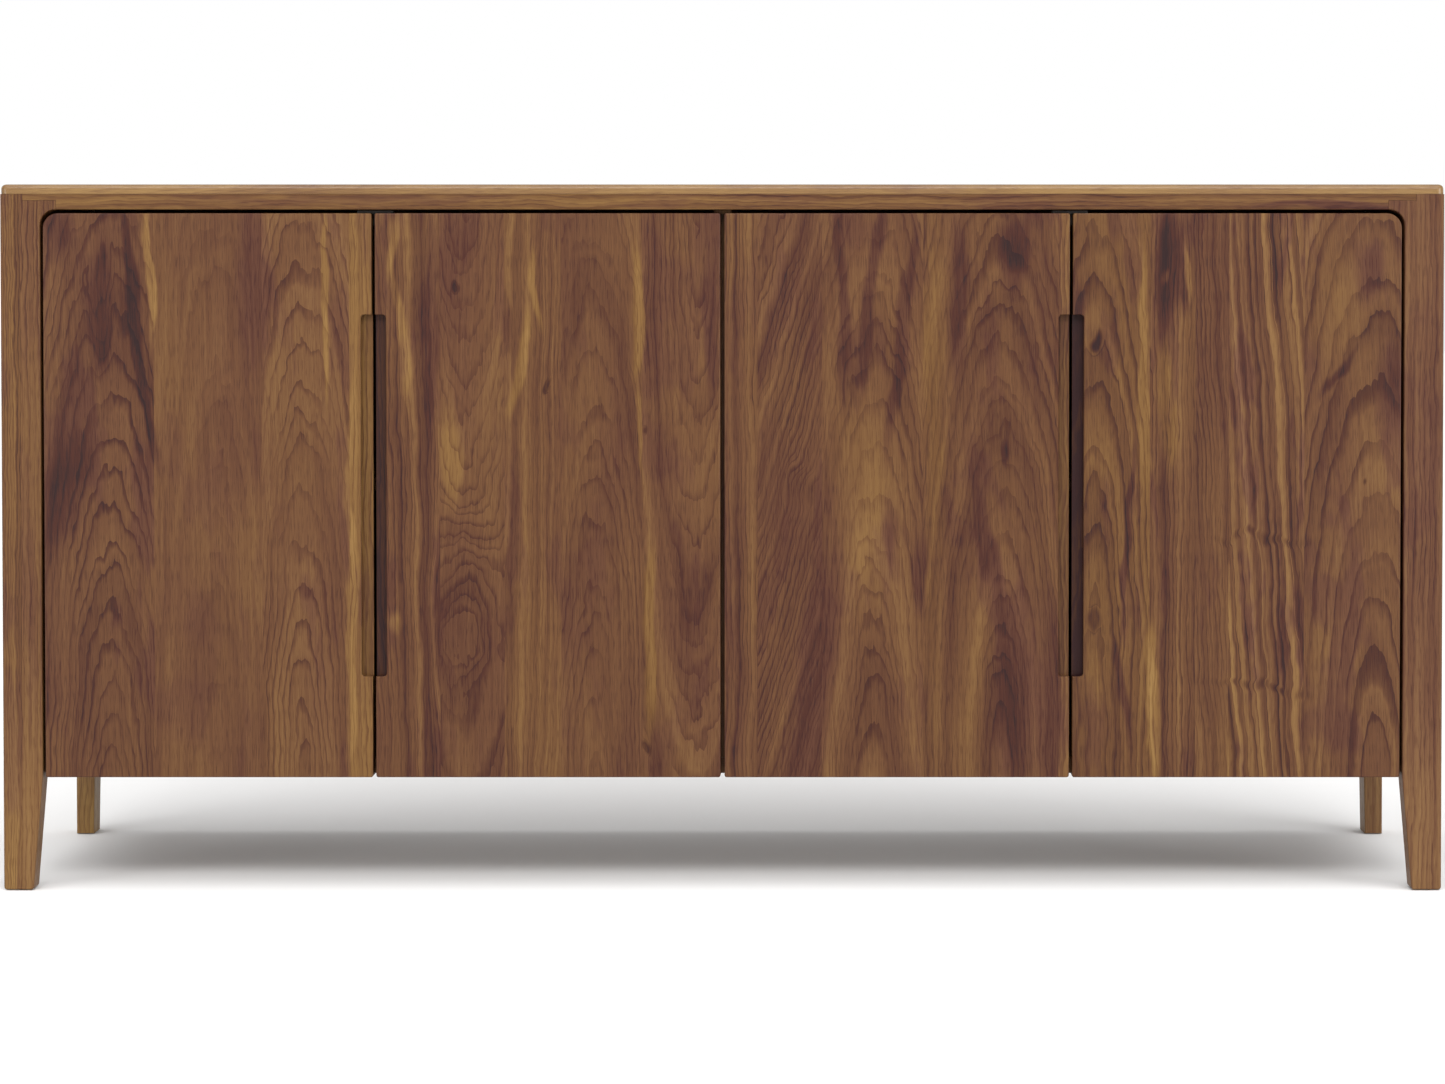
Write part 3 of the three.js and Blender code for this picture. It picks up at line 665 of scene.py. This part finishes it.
# %% Right outer door
finish_door("door_outer_right", [
    board(0, 30, apex=600, depth=60, slope=0.12, tone=0.5, warmth=0.75, contrast=0.34, band=14,
          ring=0.26, year=8, seed=15.4),
    board(98, -60, depth=20, tone=0.48, warmth=0.52, contrast=0.32, band=12, seed=16.8),
    board(156, -40, apex=360, depth=10, lean=-0.05, tone=0.43, warmth=0.4, contrast=0.3, band=12,
          ring=0.22, year=6, seed=17.5),
    board(198, -40, apex=360, depth=10, lean=-0.063, tone=0.54, warmth=0.55, contrast=0.55, band=8,
          ring=0.4, year=10.5, seed=17.5),
    board(294, 385, apex=490, depth=90, slope=0.17, tone=0.49, warmth=0.48, contrast=0.34, band=15,
          ring=0.28, year=11.5, seed=18.1),
], [
    mark(29, 557, 7, 9, tone=-0.3, rings=8),
    mark(25, 206, 9, 12, tone=-0.25, warmth=-0.2, rings=8, soft=0.4),
    mark(90, 520, 6, 160, tone=0.2, warmth=0.5, soft=0.4),
    mark(70, 300, 4, 120, lean=-5, tone=-0.2, warmth=-0.7, soft=0.4),
    mark(60, 110, 6, 60, lean=12, tone=-0.2, warmth=-0.7, soft=0.5),
    mark(103, 93, 9, 96, tone=0.32, warmth=0.8, soft=0.35),
    mark(126, 655, 20, 66, tone=-0.3, warmth=-0.7, soft=0.5),
    mark(143, 645, 5, 36, tone=0.35, warmth=0.6, soft=0.4),
    mark(116, 645, 4, 8, tone=0.3, warmth=0.5),
    mark(120, 475, 12, 74, tone=0.18, warmth=0.6, soft=0.5),
    mark(240, 305, 52, 5, rings=3, tone=-0.12, soft=0.8),
    mark(240, 117, 56, 5, rings=3, tone=-0.12, soft=0.8),
    mark(322, 600, 24, 100, tone=0.06, warmth=0.3, soft=0.8),
    mark(379, 645, 16, 34, tone=-0.2, warmth=-0.9),
    mark(335, 520, 5, 40, lean=-30, tone=-0.25, warmth=-0.5),
    mark(375, 370, 3, 4, tone=-0.35, rings=5),
    mark(402, 490, 16, 60, tone=-0.16, warmth=-0.6),
], (-10, 30), -0.45)

# %% [markdown]
# ## The frame round the doors
# The rail lies over the posts in lapped joints, with its grain running across. The posts and back legs are
# single pieces with upright grain, sawn from different boards: the left post has golden stripes along its
# outer edge, and the right one is a cooler purple brown.

# %% Rail, posts and legs
finish_with(walnut("walnut_rail", "zxy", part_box("front_rail")[0], [
    board(0, -30, apex=900, depth=20, slope=0.004, tone=0.58, warmth=0.78, contrast=0.24, band=5,
          seed=21.3),
], [
    mark(6, 1660, 5, 90, tone=-0.2, warmth=-0.9, soft=0.5),
    mark(12, 420, 4, 200, tone=-0.1, warmth=-0.4, soft=0.6),
]), "front_rail")
# Painted light: every leg is lighter towards its foot, for the light bounced up from the floor.
FOOT_PAINTED_BOUNCE_LIGHT = [mark(25, 0, 80, 190, tone=0.22, warmth=0.1, soft=0.95)]
LEG_WOODS = {
    "front_leg_left": [
        board(0, -90, depth=30, tone=0.58, warmth=0.8, contrast=0.3, band=7, year=3.4, seed=22.6),
        board(25, -50, depth=30, tone=0.54, warmth=0.6, contrast=0.16, band=9, seed=23.4),
    ],
    "front_leg_right": [board(0, 100, depth=24, tone=0.52, warmth=0.34, contrast=0.22, band=9, seed=24.9)],
    # The back legs' tones are set above the front legs' as painted light, for the light that reaches them
    # from the floor under the case.
    "back_leg_left": [board(0, -60, depth=24, tone=0.74, warmth=0.85, contrast=0.2, band=8, seed=25.2)],
    "back_leg_right": [board(0, 90, depth=24, tone=0.66, warmth=0.5, contrast=0.2, band=8, seed=26.7)],
}
for name, boards in LEG_WOODS.items():
    leg_walnut = walnut(f"walnut_{name}", "xzy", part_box(name)[0], boards, FOOT_PAINTED_BOUNCE_LIGHT, wander=8.0)
    finish_with(leg_walnut, name)
print("frame:", 1 + len(LEG_WOODS), "pieces")

# %% [markdown]
# ## Glued panels
# The top, the sides, the floor of the case, the partition and the shelves are wide panels, glued from
# narrower boards. A panel's boards are drawn at random, from a fixed seed so that they are the same every
# time: some show cathedrals and some are plain.

# %% A glued panel's boards
FLAT_SAWN_SHARE = 0.6
JOINT_PLAY = 0.12


def glued_boards(width, count, seed, tone=0.5, warmth=0.55, contrast=0.26):
    draw = random.Random(seed)
    pitch = width / count
    boards = []
    for number in range(count):
        edge = pitch * number + (draw.uniform(-JOINT_PLAY, JOINT_PLAY) * pitch if number else 0.0)
        flat_sawn = draw.random() < FLAT_SAWN_SHARE
        boards.append(board(
            edge,
            heart=edge + pitch * (draw.uniform(0.35, 0.65) if flat_sawn else -2.0),
            apex=draw.uniform(100, 600),
            depth=draw.uniform(30, 50),
            slope=draw.choice((-1, 1)) * draw.uniform(0.05, 0.12),
            tone=tone + draw.uniform(-0.05, 0.05),
            warmth=warmth + draw.uniform(-0.15, 0.15),
            contrast=contrast * draw.uniform(0.6, 1.3),
            band=draw.uniform(9, 15),
            ring=0.12,
            seed=seed + number * 1.7,
        ))
    return boards


def panel_walnut(name, axes, node, count, seed, gloss=0.0, **colour):
    low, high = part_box(node)
    axis = "xyz".index(axes[0])
    width = (high[axis] - low[axis]) / MM
    return walnut(name, axes, low, glued_boards(width, count, seed, **colour), gloss=gloss)


print("glued panel boards ready")

# %% [markdown]
# The top runs its grain from side to side and is warmer than the doors. Its tone is raised well above
# theirs as a painted highlight, for the bright strip along its rounded front edge. The sides match the
# legs that hold them.

# %% Top and sides
# The top's tone of 0.82 paints a highlight over the whole top; its coat is real gloss.
finish_with(panel_walnut("walnut_top", "yxz", "top_panel", 5, 31, gloss=0.5, tone=0.82, warmth=0.85),
            "top_panel")
for number, name in enumerate(("side_panel_left", "side_panel_right")):
    finish_with(panel_walnut(f"walnut_{name}", "yzx", name, 4, 41 + number, tone=0.52, warmth=0.58), name)
print("top and sides done")

# %% [markdown]
# Inside, the case is plainer: straight-grained boards with less contrast, and a darker back. Nobody
# chooses figured wood for a shelf that stands behind a door.

# %% Inside of the case
finish_with(panel_walnut("walnut_bottom", "yxz", "bottom_panel", 4, 51, contrast=0.16), "bottom_panel")
finish_with(panel_walnut("walnut_partition", "yzx", "centre_partition", 4, 55, contrast=0.16),
            "centre_partition")
for number, side in enumerate(("left", "right")):
    finish_with(panel_walnut(f"walnut_shelf_{side}", "yxz", f"shelf_{side}", 4, 61 + number, contrast=0.18),
                f"shelf_{side}")
    finish_with(panel_walnut(f"walnut_back_{side}", "xzy", f"back_panel_{side}", 3, 71 + number,
                             tone=0.44, warmth=0.42, contrast=0.2), f"back_panel_{side}")
    finish_with(panel_walnut(f"walnut_cleat_{side}", "xzy", f"hinge_cleat_{side}", 1, 81 + number,
                             tone=0.44, contrast=0.12), f"hinge_cleat_{side}")
finish_with(panel_walnut("walnut_back_rail", "zxy", "back_rail", 1, 91, tone=0.46, contrast=0.14),
            "back_rail")
print("inside done")

# %% [markdown]
# ## Bronzed steel
# Hinges, pins and pegs are stamped steel with a dark bronze finish. Such a finish is thin: it is uneven
# in tone, brushed along one way, and rubs lighter in places.

# %% Steel
def scaled(graph, place, scale):
    """A place stretched by a scale for each axis."""
    return graph.node("ShaderNodeMapping", None, {"Vector": place, "Scale": scale})


def bronzed_steel(name, base, rubbed, brush):
    graph = new_graph(name)
    place = graph.node("ShaderNodeTexCoord", output="Object")
    scratches = graph.noise(scaled(graph, place, brush), 3.0, 0.6)
    patches = graph.noise(scaled(graph, place, (90, 90, 90)), 2.0)
    worn = graph.smooth(patches + scratches * 0.5, 0.02, 0.3)
    graph.feed(graph.shader.inputs["Base Color"], graph.blend(worn, base, rubbed))
    graph.feed(graph.shader.inputs["Roughness"], 0.36 + scratches * 0.25 - worn * 0.06)
    graph.feed(graph.shader.inputs["Normal"], graph.bump(scratches, 0.15, 0.0001))
    graph.shader.inputs["Metallic"].default_value = 0.9
    return graph.owner


dark_steel = bronzed_steel(
    "bronzed_steel", (0.055, 0.046, 0.038, 1), (0.19, 0.15, 0.11, 1), brush=(1500, 1500, 180))
bright_steel = bronzed_steel(
    "plated_steel", (0.30, 0.28, 0.25, 1), (0.5, 0.47, 0.43, 1), brush=(1800, 300, 1800))
metal_names = [name for name in nodes if name.startswith(("hinge_arm", "hinge_pin", "shelf_pin"))]
finish_with(dark_steel, *metal_names)
finish_with(bright_steel, *[name for name in nodes if name.startswith("strike")])
print("steel parts:", len(metal_names))

# %% [markdown]
# ## Moulded plastic and felt
# The magnetic catches have brown moulded bodies with the fine texture of a spark-eroded mould. The glides
# under the feet are pressed felt: matted fibres with no gloss at all.

# %% Plastic and felt
def soft_finish(name, dark, light, scale, roughness, strength, distance):
    graph = new_graph(name)
    place = graph.node("ShaderNodeTexCoord", output="Object")
    fine = graph.noise(scaled(graph, place, (scale, scale, scale)), 3.0, 0.7)
    broad = graph.noise(scaled(graph, place, (60, 60, 60)), 1.0)
    graph.feed(graph.shader.inputs["Base Color"], graph.blend(0.5 + fine * 0.9 + broad * 0.5, dark, light))
    graph.feed(graph.shader.inputs["Roughness"], roughness + fine * 0.1)
    graph.feed(graph.shader.inputs["Normal"], graph.bump(fine, strength, distance))
    return graph.owner


brown_plastic = soft_finish(
    "moulded_plastic", (0.018, 0.013, 0.01, 1), (0.04, 0.03, 0.024, 1),
    scale=2600, roughness=0.55, strength=0.25, distance=0.0001)
brown_felt = soft_finish(
    "pressed_felt", (0.05, 0.04, 0.032, 1), (0.13, 0.105, 0.085, 1),
    scale=1500, roughness=0.95, strength=0.8, distance=0.0004)
brown_felt.node_tree.nodes["Principled BSDF"].inputs["Sheen Weight"].default_value = 0.4
finish_with(brown_plastic, "catch_left", "catch_right")
finish_with(brown_felt, *[name for name in nodes if name.startswith("glide")])
print("catches and glides done")

# %% [markdown]
# ## Screws
# A countersunk screw shows only its head: a shallow dome with a socket for the driver. A real socket is
# cross-shaped; this one is left plain and round. The whole head is spun from half its section, from the
# rim over the dome and down the socket's wall, and its two ends are closed. It is made once at the
# origin, facing up Z, and each copy is turned and moved in its mesh.

# %% A screw head
HEAD_SIDES = 24
SOCKET_DEPTH = 0.45
SOCKET_TAPER = 0.8


def put_in_order(build):
    """Sorts edges and faces by their corners, because a spin makes them in no fixed order."""
    build.verts.index_update()
    for elements in (build.edges, build.faces):
        ranked = sorted(elements, key=lambda element: sorted(vert.index for vert in element.verts))
        for rank, element in enumerate(ranked):
            element.index = rank
        elements.sort()


def screw_head(radius, height):
    """A screw head in millimetres, standing on Z = 0 and facing up."""
    mouth = radius * 0.55
    section = [(radius, 0.0), (radius, height * 0.3), (radius * 0.8, height * 0.8), (mouth, height),
               (mouth * SOCKET_TAPER, height - SOCKET_DEPTH)]
    build = bmesh.new()
    verts = [build.verts.new((x, 0.0, z)) for x, z in section]
    for first, second in zip(verts, verts[1:]):
        build.edges.new((first, second))
    bmesh.ops.spin(build, geom=build.verts[:] + build.edges[:], cent=(0, 0, 0), axis=(0, 0, 1),
                   dvec=(0, 0, 0), angle=math.tau, steps=HEAD_SIDES, use_merge=True, use_duplicate=False)
    rims = [edge for edge in build.edges if edge.is_boundary]
    bmesh.ops.holes_fill(build, edges=rims, sides=0)
    bmesh.ops.recalc_face_normals(build, faces=build.faces[:])
    put_in_order(build)
    mesh = bpy.data.meshes.new("screw_head")
    build.to_mesh(mesh)
    build.free()
    return mesh


small_head = screw_head(3.4, 1.0)
print("screw head:", len(small_head.polygons), "faces")

# %% Copies of a small part
def facing(direction):
    """Turns +Z to a direction."""
    return Vector(direction).to_track_quat("Z", "Y").to_matrix().to_4x4()


def place_copies(name, mesh, spots, material, body):
    """One object from copies of a mesh (millimetres), each at a spot and facing a direction."""
    build = bmesh.new()
    for spot, direction in spots:
        copy = mesh.copy()
        copy.transform(Matrix.Translation(Vector(spot)) @ facing(direction) @ Matrix.Scale(MM, 4))
        build.from_mesh(copy)
        bpy.data.meshes.remove(copy)
    joined = bpy.data.meshes.new(name)
    build.to_mesh(joined)
    build.free()
    joined.materials.append(material)
    piece = bpy.data.objects.new(name, joined)
    bpy.context.scene.collection.objects.link(piece)
    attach(piece, body)


print("copies ready")

# %% [markdown]
# The screws through the hinges' flanges sit on the side that faces into the cupboard. A flange lies a hair
# off its wall, which is the partition for the inner doors and a cleat behind the post for the outer ones.
# Its holes are 10 mm in from the back end, 12 mm above and below the middle.

# %% Hinge screws
HOLE_FROM_END = 10 * MM
HOLE_SPREAD = 12 * MM
FLANGE_GAP = 0.3 * MM
FLANGE_THICK = 2.2 * MM
FLANGE_FACE = FLANGE_GAP + FLANGE_THICK
for name in sorted(nodes):
    if not name.startswith("hinge_arm"):
        continue
    low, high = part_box(name)
    outer = "outer" in name
    side = "left" if "left" in name else "right"
    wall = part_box(f"hinge_cleat_{side}" if outer else "centre_partition")
    facing_right = outer == (side == "left")
    x = wall[1].x + FLANGE_FACE if facing_right else wall[0].x - FLANGE_FACE
    middle = (low.z + high.z) / 2
    out = (1 if facing_right else -1, 0, 0)
    spots = [((x, high.y - HOLE_FROM_END, middle + away), out) for away in (-HOLE_SPREAD, HOLE_SPREAD)]
    place_copies(name.replace("hinge_arm", "hinge_screws"), small_head, spots, dark_steel, "case")
    print(name, "flange face at", round(x / MM, 1))

# %% [markdown]
# Each strike is held by one screw in its middle, and rides on its door. A strike's back face is a hair
# from the catch, so the head is sunk by most of its height.

# %% Strike screws
strike_head = screw_head(2.9, 0.5)
SUNK = 0.42 * MM
for name in sorted(nodes):
    if not name.startswith("strike"):
        continue
    low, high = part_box(name)
    spot = ((low.x + high.x) / 2, high.y - SUNK, (low.z + high.z) / 2)
    body = name.replace("strike", "door")
    place_copies(name.replace("strike", "strike_screw"), strike_head, [(spot, (0, 1, 0))], bright_steel,
                 body)
print("strike screws: 4")

# %% [markdown]
# ## The back's screws
# The thin back panels are screwed into the case all round, about every 180 mm, so that they brace it
# against leaning sideways.

# %% Back panel screws
back_head = screw_head(3.6, 0.9)
EDGE_INSET = 12 * MM
COLUMNS = 5
ROWS = 4
for side in ("left", "right"):
    low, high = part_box(f"back_panel_{side}")
    spots = []
    for column in range(COLUMNS + 1):
        x = low.x + EDGE_INSET + (high.x - low.x - 2 * EDGE_INSET) * column / COLUMNS
        for z in (low.z + EDGE_INSET, high.z - EDGE_INSET):
            spots.append(((x, high.y, z), (0, 1, 0)))
    for row in range(1, ROWS):
        z = low.z + EDGE_INSET + (high.z - low.z - 2 * EDGE_INSET) * row / ROWS
        for x in (low.x + EDGE_INSET, high.x - EDGE_INSET):
            spots.append(((x, high.y, z), (0, 1, 0)))
    place_copies(f"back_screws_{side}", back_head, spots, dark_steel, "case")
print("back screws per panel:", len(spots))

# %% [markdown]
# ## Door buffers
# A small felt dot near the bottom free corner of each door meets the edge of the case floor, so that the
# door closes without a knock. It is a low disc with a rounded rim.

# %% Buffers
BUFFER_RADIUS = 5.0
BUFFER_THICK = 1.8
BUFFER_INSET = 30 * MM


def felt_dot(radius, thick):
    build = bmesh.new()
    bmesh.ops.create_cone(build, cap_ends=True, segments=32, radius1=radius, radius2=radius, depth=thick)
    bmesh.ops.translate(build, vec=(0, 0, thick / 2), verts=build.verts[:])
    rim = [edge for edge in build.edges if all(vert.co.z > thick * 0.9 for vert in edge.verts)]
    bmesh.ops.bevel(build, geom=rim, offset=thick * 0.45, offset_type="OFFSET", segments=3, profile=0.5,
                    affect="EDGES", material=-1)
    mesh = bpy.data.meshes.new("felt_dot")
    build.to_mesh(mesh)
    build.free()
    return mesh


dot = felt_dot(BUFFER_RADIUS, BUFFER_THICK)
floor_low, floor_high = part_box("bottom_panel")
for name in ("outer_left", "inner_left", "inner_right", "outer_right"):
    low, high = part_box(f"door_{name}")
    free_on_right = name in ("outer_left", "inner_right")
    x = high.x - BUFFER_INSET if free_on_right else low.x + BUFFER_INSET
    spot = (x, high.y, (floor_low.z + floor_high.z) / 2)
    place_copies(f"buffer_{name}", dot, [(spot, (0, 1, 0))], brown_felt, f"door_{name}")
print("buffers: 4")
